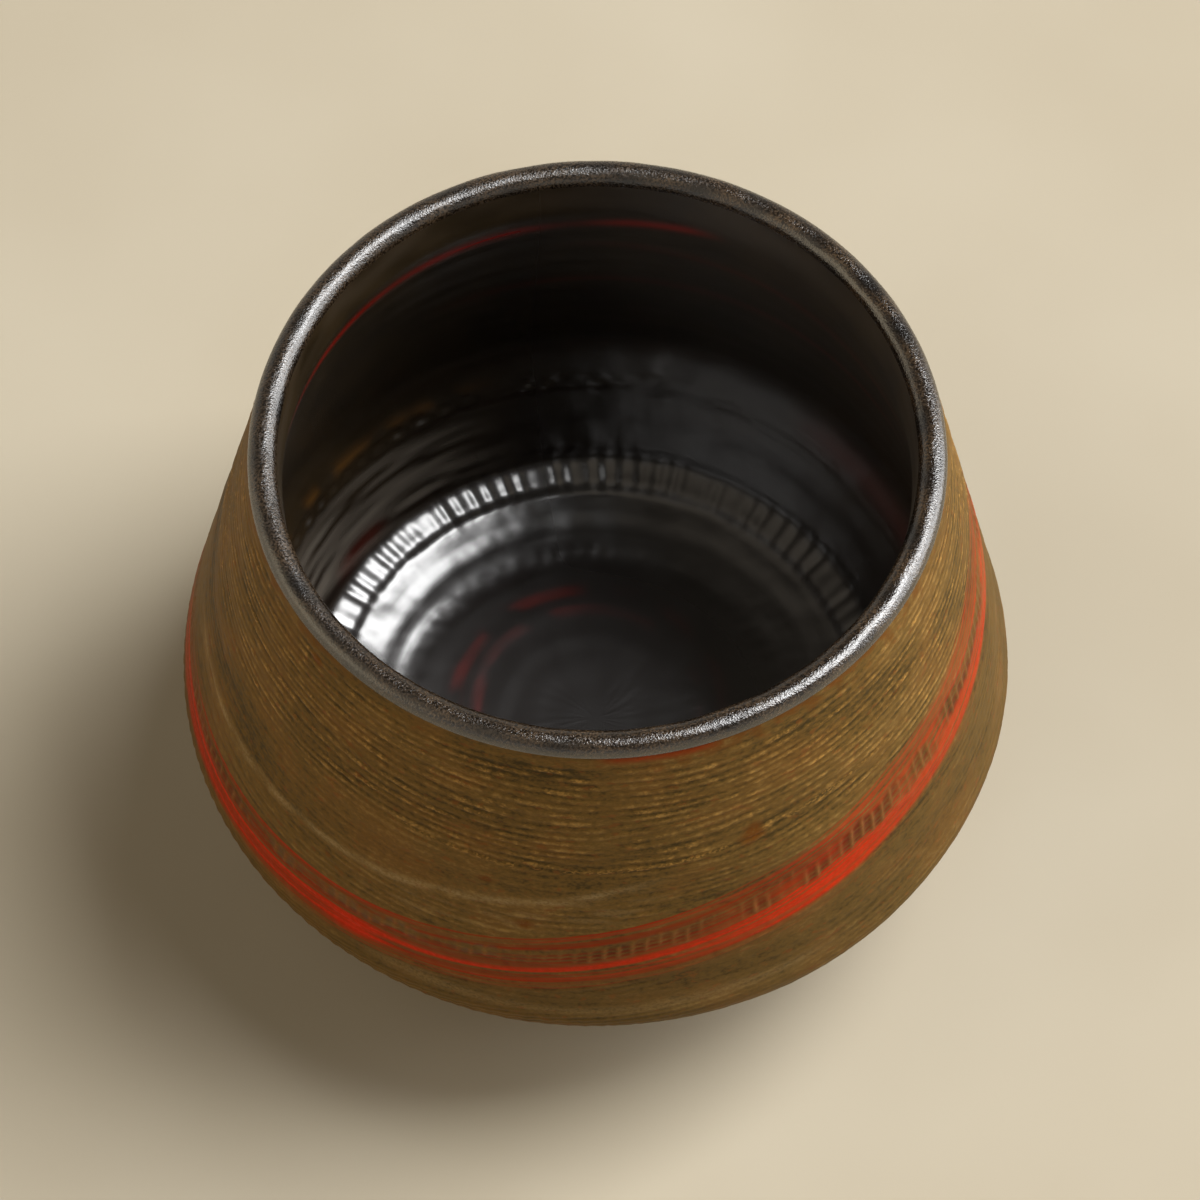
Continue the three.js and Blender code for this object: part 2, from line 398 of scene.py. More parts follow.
def red_marks(theta, along):
    """Red slip laid on with a loaded brush: thin and streaked over the olive in the upper half, full in a
    bright stripe low down, deep on the left and worn off behind it. Thinner and brighter on the right side,
    which is painted sheen where the light falls. Gives the cover of red and how bright it is, as sums of
    bell curves across the band."""
    across = across_band(theta, along)
    down = across * BAND_WIDTH
    streaks = waves(theta, down, 5, 0.42, 41)
    soft_streaks = waves(theta, down, 4, 1.5, 42)
    place = across + 0.022 * waves(theta, 0, 9, 1, 43)
    inside = smooth(place + 0.05 * streaks, -0.03, 0.14) * (1 - smooth(place + 0.03 * streaks, 0.9, 1.01))
    stripe_place = 0.63 + 0.07 * np.sin(theta - 0.2)
    stripe_width = 0.06 + 0.17 * smooth(away(theta, 12), -16, 34)
    stripe = hump(place + 0.012 * soft_streaks, stripe_place, stripe_width)
    stripe = stripe * np.clip(0.95 + 0.14 * streaks, 0, 1)
    thin_stripe = 0.5 * hump(place, stripe_place + 0.2, 0.028)
    edge_line = hump(place, 0.045, 0.03) * (arc(theta, -4, 75, 12) + 0.7 * arc(theta, -78, -28, 10))
    deep_left = hump(place, 0.8, 0.17) * arc(theta, -130, -38, 12)
    patch = hump(away(theta, -34), 0, 4) * hump(place, 0.76, 0.14)
    spill = smooth(streaks, 0.9, 1.7) * (hump(place, 0, 0.09) + hump(place, 1.0, 0.06))
    fringe = 0.75 * arc(theta, 4, 17, 5) * (1 - smooth(along, 0.3, 1.1))
    thin = 0.52 + 0.24 * streaks + 0.14 * soft_streaks
    full = thin + 0.6 * stripe + 0.5 * deep_left + 0.4 * patch + 0.4 * thin_stripe
    cover = inside * np.clip(full, 0.1, 1)
    cover = np.clip(cover + 0.6 * edge_line + 0.4 * spill + fringe, 0, 1)
    worn = np.clip(arc(theta, -146, -104, 30) * (1 + 0.3 * streaks + 0.2 * soft_streaks), 0, 1)
    # the first factor thins the red on the right side: painted sheen where the light falls
    cover = cover * (1 - 0.35 * arc(theta, 55, 130, 20)) * (1 - 0.8 * worn)
    bright = stripe + thin_stripe + 0.5 * edge_line + 0.9 * patch + 0.35 * deep_left + 0.12 * streaks
    # the rise on the right side is painted sheen
    return cover, np.clip(bright + 0.4 * arc(theta, 45, 130, 22), 0, 1)


def chatter_marks(theta, along):
    """Row of cells that a springing tool cut into the band: upright ridges, raised cosines evenly spaced
    round it, in a strip across its middle. Gives the ridges and the strip."""
    across = across_band(theta, along)
    wander = 1.1 * waves(theta, 0, 14, 1, 51)
    lean = 0.12 * (along - band_top(theta))
    ridges = ridge((CHATTER_COUNT * theta + wander + lean) / FULL_TURN, 3)
    place = 0.37 + 0.1 * np.sin(theta)
    half = 0.125 + 0.05 * smooth(away(theta, 20), -25, 25)
    from_place = np.abs(across - place + 0.025 * waves(theta, 0, 60, 1, 52))
    strip = 1 - smooth(from_place, half * 0.6, half * 1.2)
    strip = strip * np.clip(0.7 + 0.35 * waves(theta, along, 40, 5, 53), 0.1, 1)
    return ridges, strip


def fan_line(theta, along):
    """Line number below the band: the share of the way from the band's lower edge to a level ring, times the
    number of lines, so that they fan out."""
    bottom = band_bottom(theta)
    return FAN_LINES * (along - bottom) / (FAN_END - bottom) + 0.2 * waves(theta, along, 4, 5, 61)


def pale_marks(theta, along, blur):
    """Pale ash: a broken grey ring above the band on the left, a faint sprinkle under it at the front, and a
    soft pale line below the band, each a bell curve across its line. Gives the ash and the grey ring."""
    ring = hump(along, grey_ring_place(theta) + 0.12 * blur, 0.48) * arc(theta, -76, 0, 14)
    ring = ring * np.clip(0.75 + 0.35 * waves(theta, along, 50, 1.2, 66), 0, 1)
    sprinkle = arc(theta, -28, 4, 10) * hump(along, grey_ring_place(theta) + 2.6, 1.5)
    sprinkle = 0.3 * sprinkle * smooth(waves(theta, along, 50, 0.8, 70), -0.2, 1.2)
    lower = hump(along, PALE_LINE + 0.3 * blur, 0.6) * arc(theta, -22, 26, 14)
    smears = smooth(waves(theta, along, 6, 1.8, 69), 0.8, 2.2) * smooth(across_band(theta, along), 1.0, 1.1)
    return np.clip(0.85 * ring + sprinkle + 0.3 * lower + 0.1 * smears, 0, 1), ring


def outside_marks(theta, along):
    """Relief in millimetres and the paint of the outside, as one set of fields for all three coats, so that
    the coats meet without a step: sums of the marks above, between and below the edges of the band."""
    across = across_band(theta, along)
    above = 1 - smooth(across, -0.1, 0.04)
    below = smooth(across, 0.97, 1.08)
    between = np.clip(1 - above - below, 0, 1)
    comb, comb_strength, bronze_and_glint = comb_marks(theta, along)
    fan = ridge(fan_line(theta, along), 1.2)
    fan_strength = np.clip(0.45 + 0.35 * waves(theta, along, 10, 3, 62), 0.05, 1)
    fan_strength = fan_strength * (1 - 0.6 * smooth(along, cone_length + belly_length, outer_length))
    chatter, strip = chatter_marks(theta, along)
    streaks = waves(theta, along, 7, 0.6, 63)
    radius, height = on_wall(outer_wall, along, 0, OUTSIDE)
    grain = lumps(theta, radius, height, 1.3, 64)
    blur = waves(theta, along, 9, 6, 65)
    closing = hump(along, bronze_ring_place(theta), 0.22) * arc(theta, -26, 46, 10)
    closing = closing * np.clip(0.75 + 0.4 * waves(theta, 0, 110, 1, 67), 0, 1)
    ash, ring = pale_marks(theta, along, blur)
    cover, bright = red_marks(theta, along)
    belly_nicks = hump(along, cone_length + 0.45 * belly_length, 1.3) * arc(theta, -110, -10, 30)
    nicks = ridge(NICK_COUNT * theta / FULL_TURN + 0.3 * waves(theta, 0, 20, 1, 68), 1)
    grey_ring = grey_ring_place(theta)
    wedge = smooth(along, 14.5, 17) * (1 - smooth(along, grey_ring - 1, grey_ring))

    lines = above * comb_strength * comb + below * 0.6 * fan_strength * fan
    lines = lines + between * 0.3 * smooth(streaks, -1, 1.5)
    relief = COMB_RELIEF * (lines - 0.4 * (above * comb_strength + below * 0.6 * fan_strength))
    relief = relief + CHATTER_RELIEF * between * strip * (chatter - 0.35)
    rings = GREY_RING_RELIEF * ring + BRONZE_RING_RELIEF * closing
    relief = relief + above * rings + GRAIN_RELIEF * grain + SLOW_RELIEF * blur
    relief = relief + NICK_RELIEF * belly_nicks * (nicks - 0.5)
    relief = relief * smooth(along, 0, 0.5) * (1 - smooth(along, outer_length - 0.5, outer_length))

    tone = 0.37 + 0.5 * above * comb_strength * (comb - 0.35)
    tone = tone + 0.24 * below * fan_strength * (fan - 0.4)
    tone = tone + 0.04 * streaks + 0.04 * grain + 0.04 * blur - 0.07 * wedge * above
    return {
        "relief": relief,
        "tone": np.clip(tone, 0, 1),
        "bronze_and_glint": np.clip(above * (bronze_and_glint * comb * comb_strength + 0.7 * closing), 0, 1),
        "ash": ash * (1 - between),
        "rust": rust_marks(theta, along) * above,
        "red": cover,
        "bright": bright,
        "cell": np.clip(strip * between, 0, 1),
        "upright": np.clip(strip * chatter * between, 0, 1),
        "grey_cell": strip * between * arc(theta, -52, -14, 10) * (1 - chatter),
    }


# Marks on the inside

RED_RING = 5.8
RED_RING_WIDTH = 0.62
BEAD_COUNT = 88
BEAD_RING = 38.0
BEAD_HALF = 0.5
BEAD_STEP = 0.2  # each bead is a small flat, cut this much less steep than the wall over half its height
TICK_COUNT = 100
TICK_RING = 47.6
TICK_HALF = 1.45
TICK_DEPTH = 0.1
TICK_STEP = 0.36  # the ring of ticks is cut flatter than the wall, by this much over half its height
SMALL_BEAD_RING = 45.2
SMALL_BEAD_RELIEF = 0.04
FLOOR_BEAD_COUNT = 62
FLOOR_BEAD_RING = 55.8
FLOOR_BEAD_RELIEF = 0.05
LOW_WALL = (30, 37)  # lengths down the inner wall between which the marks grow stronger
FLOOR_EDGE = (55.5, 58.5)  # and between which they grow weak again on the floor
INNER_ROWS = (  # length down the inner wall, and how many rows of the grid lie in a millimetre there
    (0, 1.6), (3, 1.6), (4, 2.6), (8, 2.6), (9, 1.3), (36, 1.3), (37, 3.4), (39, 3.4),
    (40, 1.6), (44, 1.6), (45, 3.4), (50, 3.4), (51, 1.8), (64, 1.8), (67, 1.0), (73, 1.0),
)
THROWING_PITCH = 3.4
THROWING_CREST = 51.2
THROWING_RELIEF = 0.034
FINGER_RELIEF = 0.013
STREAK_RELIEF = 0.007
PIT_RELIEF = 0.022
FINE_PIT_RELIEF = 0.006
RED_SWIRL = 61.5


def bead_row(theta, count, seed):
    """Beads evenly round the cup, some larger than others: raised cosines with a slow drift of place and of
    size."""
    drift = 1.4 * waves(theta, 0, 12, 1, seed)
    size = np.clip(0.7 + 0.45 * waves(theta, 0, 30, 1, seed + 1), 0.1, 1.4)
    return size * ridge((count * theta + drift) / FULL_TURN, 1)


def inside_marks(theta, along):
    """Relief in millimetres and paint of the glazed hollow: throwing rings, a ring of upright ticks where a
    tool sprang, two chains of beads above it and one round the floor, rings of red under the black, and a
    grey bloom that is partly matt glaze and partly painted highlight. Each is a product of bell curves or
    eased steps down the wall and cosines or noise round it."""
    radius, height = on_wall(inner_wall, along, 0, INSIDE)
    slow = waves(theta, along, 3, 14, 71)
    pits = lumps(theta, radius, height, 4.0, 72)
    fine_pits = lumps(theta, radius, height, 1.6, 73)
    low = smooth(along, *LOW_WALL)
    floor = smooth(along, *FLOOR_EDGE)
    wall_share = 0.55 + 0.45 * low - 0.72 * floor

    tick_place = TICK_RING + 0.3 * np.cos(theta + math.radians(85))
    down = (along - tick_place) / TICK_HALF
    tick_strip = 1 - smooth(np.abs(down), 0.35, 1.8)
    tick_drift = 0.8 * waves(theta, 0, 10, 1, 74)
    ticks = ridge((TICK_COUNT * theta + tick_drift) / FULL_TURN + 0.06 * down, 0.8)
    tick_depth = TICK_DEPTH * np.clip(0.75 + 0.35 * waves(theta, 0, 45, 1, 86), 0.2, 1.2)
    step = TICK_STEP * np.clip(down, -1, 1) * tick_strip
    bead_down = np.clip((along - BEAD_RING - 0.15 * slow) / BEAD_HALF, -2, 2)
    bead_strip = 1 - smooth(np.abs(bead_down), 0.5, 1.8)
    small_strip = hump(along, SMALL_BEAD_RING, 0.55)
    floor_strip = hump(along, FLOOR_BEAD_RING + 0.3 * slow, 0.5)

    throwing = np.cos(FULL_TURN * (along - THROWING_CREST + 0.35 * slow) / THROWING_PITCH)
    fingers = waves(theta, along, 3, 0.9, 87)
    streaks = waves(theta, along, 34, 0.8, 90)
    relief = THROWING_RELIEF * throwing + FINGER_RELIEF * fingers + STREAK_RELIEF * streaks
    relief = relief * wall_share * (1 - tick_strip)
    pitted = PIT_RELIEF * pits + FINE_PIT_RELIEF * fine_pits
    relief = relief + (0.25 + 0.75 * low) * (1 - 0.7 * floor) * pitted
    relief = relief + step + tick_depth * tick_strip * (ticks - 0.6)
    glossy_side = arc(theta, -165, -85, 40)
    crisp = 0.2 + 0.8 * glossy_side
    relief = relief + BEAD_STEP * crisp * bead_down * bead_strip * bead_row(theta, BEAD_COUNT, 75)
    relief = relief + SMALL_BEAD_RELIEF * crisp * small_strip * (bead_row(theta, TICK_COUNT, 84) - 0.25)
    relief = relief + FLOOR_BEAD_RELIEF * floor_strip * (bead_row(theta, FLOOR_BEAD_COUNT, 77) - 0.25)
    relief = relief * smooth(along, 0, 1.5) * (1 - 0.6 * smooth(along, inner_length - 5, inner_length))

    swing = smooth(away(theta, 165), -22, 25)
    ring_place = RED_RING - 1.6 * (1 - swing) * arc(theta, 90, 190, 10)
    ring_strength = arc(theta, 166, 262, 12) * np.clip(0.85 + 0.3 * waves(theta, 0, 14, 1, 81), 0.25, 1)
    red = ring_strength * hump(along, ring_place, RED_RING_WIDTH)
    red = red + 0.16 * arc(theta, 100, 172, 20) * hump(along, 11.2 - 0.02 * away(theta, 140), 0.5)
    red = red + 0.2 * arc(theta, 125, 195, 20) * hump(along, 18.2 + 0.01 * away(theta, 160), 0.45)
    red = red + 0.2 * arc(theta, 100, 135, 12) * hump(along, 36.2, 1.4)
    swirl_place = RED_SWIRL + 1.6 * np.sin(theta + 1.2)
    swirl = hump(along, swirl_place, 0.5) + 0.8 * hump(along, swirl_place + 2.1, 0.4)
    swirl = swirl * np.clip(0.5 + 0.6 * waves(theta, along, 20, 3, 88), 0, 1)
    red = red + swirl * (0.1 + 0.25 * arc(theta, -160, -70, 30))
    patchy = np.clip(0.5 + 0.6 * lumps(theta, radius, height, 9, 82), 0, 1)
    red = red + 0.12 * arc(theta, -128, -104, 8) * hump(along, SMALL_BEAD_RING, 0.8) * patchy
    rusty = 0.5 * arc(theta, -150, -98, 14) * hump(along, BEAD_RING - 1.4, 0.5)
    rusty = rusty * np.clip(0.4 + 0.6 * pits, 0, 1)
    # band just under the lip: partly thin glaze at the break, partly a painted reflection of the lip
    lip_break_and_reflection = (1 - smooth(along, 1.0, 3.6)) * np.clip(0.6 + 0.4 * waves(theta, along, 24, 3, 83), 0, 1)
    # painted highlight on the lower left wall, where the lamp's reflection spreads; in part a matt bloom
    bloom_and_highlight = smooth(along, BEAD_RING, BEAD_RING + 2.5)
    bloom_and_highlight = bloom_and_highlight * (1 - smooth(along, TICK_RING - 2.5, TICK_RING - 0.5))
    bloom_and_highlight = bloom_and_highlight * arc(theta, -142, -104, 26)
    bloom_and_highlight = bloom_and_highlight * np.clip(0.5 + 0.4 * waves(theta, along, 16, 1.1, 89), 0, 1)
    return {
        "relief": relief,
        "red": np.clip(red, 0, 1),
        "rusty": np.clip(rusty, 0, 1),
        "glaze_break_and_reflection": lip_break_and_reflection,
        "bloom_and_highlight": bloom_and_highlight,
        # darker towards the floor of the hollow
        "darker_below": smooth(along, 30, 52),
        "satin": (1 - glossy_side) * (1 - floor),
    }


# Meshes


def thrown(theta, height):
    """Slight unevenness from the wheel: sums of slow cosines, for the radius and for the height, that grow
    from none at the foot and at the belly."""
    swell = sum(amount * np.cos(number * theta + phase) for amount, number, phase in SWELL_WAVES)
    lift = sum(amount * np.cos(number * theta + phase) for amount, number, phase in LIFT_WAVES)
    grown = smooth(height, FOOT_HEIGHT, BELLY_HEIGHT)
    rise = smooth(height, BELLY_HEIGHT, RIM_HEIGHT)
    return grown * swell, rise * lift


def columns(count):
    """Directions of the columns of a grid, evenly round the cup."""
    return np.arange(count) * FULL_TURN / count


def turned_piece(name, theta, radius, height, marks, closed_ring):
    """Closed surface turned about the axis. Each row of radius and height is a ring, placed at radius times
    sine and minus radius times cosine of the direction. The rows join last to first, or end in points on the
    axis."""
    swell, lift = thrown(theta, height)
    wide = radius + swell * smooth(radius, 0, BELLY_RADIUS)
    points = np.stack([wide * np.sin(theta), -wide * np.cos(theta), height + lift], -1) * MM
    rows, count = radius.shape
    number = np.arange(rows * count).reshape(rows, count)
    beside = np.roll(number, -1, axis=1)
    below = np.roll(number, -1, axis=0)
    below_beside = np.roll(beside, -1, axis=0)
    quads = np.stack([number, below, below_beside, beside], -1)
    points = points.reshape(-1, 3)
    triangles = np.zeros((0, 3), int)
    if not closed_ring:
        quads = quads[:-1]
        first = np.full(count, rows * count)
        last = first + 1
        triangles = np.concatenate(
            [np.stack([first, number[0], beside[0]], -1), np.stack([last, beside[-1], number[-1]], -1)]
        )
        middle = np.array([[0, 0, height[0].mean() * MM], [0, 0, height[-1].mean() * MM]])
        points = np.concatenate([points, middle])
    quads = quads.reshape(-1, 4)
    corners = np.concatenate([quads.ravel(), triangles.ravel()])
    starts = np.concatenate([np.arange(len(quads)) * 4, len(quads) * 4 + np.arange(len(triangles)) * 3])
    mesh = bpy.data.meshes.new(name)
    mesh.vertices.add(len(points))
    mesh.vertices.foreach_set("co", points.ravel())
    mesh.loops.add(len(corners))
    mesh.loops.foreach_set("vertex_index", corners)
    mesh.polygons.add(len(starts))
    mesh.polygons.foreach_set("loop_start", starts)
    mesh.update(calc_edges=True)
    for mark, values in marks.items():
        values = np.broadcast_to(values, radius.shape).ravel()
        if not closed_ring:
            values = np.concatenate([values, [values[:count].mean(), values[-count:].mean()]])
        mesh.attributes.new(mark, "FLOAT", "POINT").data.foreach_set("value", values.astype(np.float32))
    mesh.shade_smooth()
    mesh.set_sharp_from_angle(angle=SHARP_EDGE)
    piece = bpy.data.objects.new(name, mesh)
    bpy.context.scene.collection.objects.link(piece)
    return piece


def with_underside(marks, rows):
    """The marks of a coat's surface followed by plain rows for its underside."""
    plain = {}
    for mark, values in marks.items():
        if mark != "relief":
            plain[mark] = np.concatenate([values, np.zeros((rows, values.shape[1]))])
    return plain


def joined(*stretches):
    """Radius and height of several stretches of rings, one after another."""
    return [np.concatenate(values) for values in zip(*stretches)]


def slip_coat(name, grid, top, bottom):
    """One coat of slip between two lengths down the outer wall: the surface raised by its relief, then the
    underside back up, one coat's thickness lower."""
    rows, count, under_rows = grid
    theta = columns(count)[None, :]
    start = top(theta)
    end = bottom(theta)
    along = start + (end - start) * np.linspace(0, 1, rows)[:, None]
    under = end + (start - end) * np.linspace(0, 1, under_rows)[:, None]
    marks = outside_marks(theta, along)
    surface = on_wall(outer_wall, along, marks["relief"], OUTSIDE)
    underside = on_wall(outer_wall, under, BOND - COAT, OUTSIDE)
    radius, height = joined(surface, underside)
    return turned_piece(name, theta, radius, height, with_underside(marks, under_rows), True)


def rows_along(end, density, rows):
    """Places of a grid's rows from 0 to an end, closer where the density is higher: the running sum of the
    density is cut into equal shares."""
    fine = np.linspace(0, end, PROFILE_STEPS)
    sums = np.cumsum(np.interp(fine, *np.array(density, float).T))
    return np.interp(np.linspace(sums[0], sums[-1], rows), sums, fine)


def glazed_hollow(name, grid):
    """Glaze inside, from the middle of the floor up to the lip, raised by its relief, then its underside back
    down, one coat's thickness deeper."""
    rows, count, under_rows = grid
    theta = columns(count)[None, :]
    ones = np.ones_like(theta)
    along = rows_along(inner_length - FIRST_RING, INNER_ROWS, rows)[::-1, None] * ones
    under = (inner_length - FIRST_RING) * np.linspace(0, 1, under_rows)[:, None] * ones
    marks = inside_marks(theta, along)
    surface = on_wall(inner_wall, along, marks["relief"], INSIDE)
    underside = on_wall(inner_wall, under, BOND - COAT, INSIDE)
    radius, height = joined(surface, underside)
    return turned_piece(name, theta, radius, height, with_underside(marks, under_rows), False)


LIP_PROUD = 0.1  # the lip stands out over the slip by this much
LIP_SWELL = 0.02
LIP_GRAIN = 0.005


def glazed_lip(name, grid):
    """Half-round lip, from its inner to its outer edge: a half circle whose radius swells a little on the
    outside, with slow lumps and fine grain, then a smaller half circle back underneath."""
    rows, count, under_rows = grid
    theta = columns(count)[None, :]
    turn = math.pi * (1 - np.linspace(0, 1, rows))[:, None]
    middle = RIM_RADIUS - LIP_THICKNESS / 2
    swells = waves(theta, 4 * turn, 40, 6, 91)
    grain = waves(theta, 4 * turn, 240, 1.4, 92)
    free = np.sin(turn)
    proud = LIP_PROUD * smooth(np.cos(turn), -0.2, 0.9)
    bead = LIP_THICKNESS / 2 + proud + free * (LIP_SWELL * swells + LIP_GRAIN * grain)
    back = math.pi * np.linspace(0, 1, under_rows)[:, None] * np.ones_like(theta)
    under = LIP_THICKNESS / 2 - COAT + BOND
    radius = np.concatenate([middle + bead * np.cos(turn), middle + under * np.cos(back)])
    height = np.concatenate([RIM_HEIGHT + bead * np.sin(turn), RIM_HEIGHT + under * np.sin(back)])
    worn = np.clip(0.6 + 0.25 * swells, 0, 1) * np.ones_like(bead)
    satin = arc(theta, -175, -60, 40) * np.ones_like(bead)
    marks = with_underside({"worn": worn, "satin": satin}, under_rows)
    return turned_piece(name, theta, radius, height, marks, True)


TURNING_PITCH = 0.9  # lines left on the foot by the turning tool
TURNING_RELIEF = 0.03
FOOT_GRAIN = 0.02


def clay_cup(name, grid):
    """Clay body under the coats: the hollow from the middle of the floor up, a half-round rim, the outer wall
    down, and the foot ring with its turning lines, which are a cosine of the length along it."""
    rows, count = grid
    theta = columns(count)[None, :]
    ones = np.ones_like(theta)
    share = np.linspace(0, 1, rows)[:, None]
    inside = on_wall(inner_wall, (inner_length - FIRST_RING) * (1 - share) * ones, -COAT, INSIDE)
    outside = on_wall(outer_wall, outer_length * share * ones, -COAT, OUTSIDE)
    rim_turn = math.pi * (1 - np.linspace(0, 1, CLAY_RIM_RINGS)[1:-1])[:, None] * ones
    rim_bead = LIP_THICKNESS / 2 - COAT
    rim_middle = RIM_RADIUS - LIP_THICKNESS / 2
    over = (rim_middle + rim_bead * np.cos(rim_turn), RIM_HEIGHT + rim_bead * np.sin(rim_turn))
    foot_top = (float(outside[0][-1, 0]), float(outside[1][-1, 0]))
    foot_outer = foot_top[0] - FOOT_TAPER
    foot_inner = foot_outer - FOOT_WIDTH
    recess = foot_inner - FOOT_RECESS_TAPER
    corners = [foot_top, (foot_outer, 0), (foot_inner, 0), (recess, FOOT_RECESS), (0, FOOT_RECESS)]
    foot_wall = wall_profile(foot_top, rounded_line(corners, [FOOT_BEVEL] * 3))
    foot_length = foot_wall[0][-1]
    along = (foot_length - FIRST_RING) * np.linspace(0, 1, 3 * rows)[1:, None] * ones
    level = np.interp(along, foot_wall[0], foot_wall[2])
    turning = TURNING_RELIEF * np.cos(FULL_TURN * along / TURNING_PITCH + theta)
    turning = turning + FOOT_GRAIN * waves(theta, along, 30, 1.5, 95)
    turning = turning * smooth(level, 0.1, 0.8) * smooth(along, 0, 0.6)
    foot = on_wall(foot_wall, along, turning, OUTSIDE)
    radius, height = joined(inside, over, outside, foot)
    covered = np.zeros((len(radius) - len(along), count))
    grit = np.concatenate([covered, waves(theta, along, 40, 1.5, 96)])
    return turned_piece(name, theta, radius, height, {"grit": np.clip(0.5 + 0.3 * grit, 0, 1)}, False)


# Finishes


def colour(red, green, blue):
    """A colour given as seen, 0 to 255, turned into light: the share to the power 2.2."""
    return tuple((value / 255) ** 2.2 for value in (red, green, blue)) + (1.0,)


OLIVE_TONES = (colour(66, 53, 27), colour(105, 80, 40), colour(145, 114, 65))  # grooves, middle, ridges
DARK_TONES = (colour(66, 52, 26), colour(96, 74, 38), colour(128, 101, 59))
CLOUD_BROWN = colour(122, 76, 34)
FLECK_BROWN = colour(118, 68, 32)
# bronze of the flecks on the ridges, partly painted glints
BRONZE_AND_GLINT = colour(168, 126, 64)
ASH = colour(146, 122, 84)
RUST = colour(104, 60, 16)
DEEP_RED = colour(128, 46, 8)
BRIGHT_RED = colour(198, 46, 10)
CELL_RED = colour(100, 34, 12)
CELL_GREY = colour(100, 76, 54)
UPRIGHT_TAN = colour(150, 96, 52)
GRAIN_RED = colour(112, 46, 16)
GLAZE_BROWN = colour(42, 33, 19)
GLAZE_PALE = colour(54, 43, 27)
# glaze colour towards the floor
GLAZE_DARKER_BELOW = colour(23, 14, 7)
# colour of the band under the lip: partly thin glaze, partly painted reflection
GLAZE_BREAK_AND_REFLECTION = colour(74, 63, 50)
# pale grey of the bloom: partly matt glaze, partly painted highlight
GLAZE_BLOOM_AND_HIGHLIGHT = colour(116, 108, 98)
GLAZE_RUST = colour(112, 74, 26)
GLAZE_RED = colour(150, 26, 14)
GLAZE_IOR = 1.7
LIP_BLACK = colour(22, 17, 12)
LIP_WORN = colour(76, 60, 42)
CLAY_BROWN = colour(92, 62, 42)
CLAY_PALE = colour(120, 84, 58)
CLAY_GRIT = colour(150, 116, 86)
CLAY_GROOVE = colour(66, 44, 30)
PAPER_SHADE = colour(184, 173, 151)
PAPER_PALE = colour(191, 181, 160)

RANGE_SOCKETS = ("From Min", "From Max", "To Min", "To Max")


class Finish:
    """A material under construction: adds nodes to one tree and links them."""

    def __init__(self, name):
        self.material = bpy.data.materials.new(name)
        self.material.use_nodes = True
        self.tree = self.material.node_tree
        self.shader = self.tree.nodes["Principled BSDF"]

    def node(self, kind, **settings):
        """Adds a node of a kind and gives it its settings."""
        made = self.tree.nodes.new(kind)
        for setting, value in settings.items():
            setattr(made, setting, value)
        return made

    def put(self, socket, value):
        """Links an output to a socket, or sets the socket to a plain value."""
        if isinstance(value, bpy.types.NodeSocket):
            self.tree.links.new(value, socket)
        else:
            socket.default_value = value

    def shade(self, name, value):
        """Puts a value on one of the shader's own sockets."""
        self.put(self.shader.inputs[name], value)

    def mark(self, name):
        """Value of one of the piece's own attributes."""
        return self.node("ShaderNodeAttribute", attribute_name=name).outputs["Fac"]

    def noise(self, size, stretch=(1, 1, 1), tilt=0.0, detail=3.0):
        """Noise in the piece's own coordinates, its grains of a size in millimetres drawn out by stretch."""
        place = self.node("ShaderNodeTexCoord").outputs["Object"]
        mapping = self.node("ShaderNodeMapping")
        self.put(mapping.inputs["Vector"], place)
        mapping.inputs["Rotation"].default_value = (0, tilt, -BAND_HIGH_SIDE if tilt else 0)
        mapping.inputs["Scale"].default_value = [1 / (size * MM * s) for s in stretch]
        texture = self.node("ShaderNodeTexNoise")
        self.put(texture.inputs["Vector"], mapping.outputs["Vector"])
        texture.inputs["Scale"].default_value = 1.0
        texture.inputs["Detail"].default_value = detail
        return texture.outputs["Fac"]

    def math(self, operation, first, second):
        """Result of one operation on two values."""
        node = self.node("ShaderNodeMath", operation=operation)
        self.put(node.inputs[0], first)
        self.put(node.inputs[1], second)
        return node.outputs["Value"]

    def spread(self, value, low, high, to_low=0.0, to_high=1.0):
        """Eased step of a value from low to high, given out between two other values."""
        node = self.node("ShaderNodeMapRange", interpolation_type="SMOOTHSTEP")
        self.put(node.inputs["Value"], value)
        for name, number in zip(RANGE_SOCKETS, (low, high, to_low, to_high)):
            node.inputs[name].default_value = number
        return node.outputs["Result"]

    def mix(self, share, first, second):
        """Colour that is a share of the way from the first to the second."""
        node = self.node("ShaderNodeMix", data_type="RGBA")
        self.put(node.inputs[0], share)
        self.put(node.inputs[6], first)
        self.put(node.inputs[7], second)
        return node.outputs[2]

    def bump(self, height, distance, strength):
        """Fine relief from a value, given a distance in millimetres for its whole range."""
        node = self.node("ShaderNodeBump")
        node.inputs["Strength"].default_value = strength
        node.inputs["Distance"].default_value = distance * MM
        self.put(node.inputs["Height"], height)
        self.shade("Normal", node.outputs["Normal"])


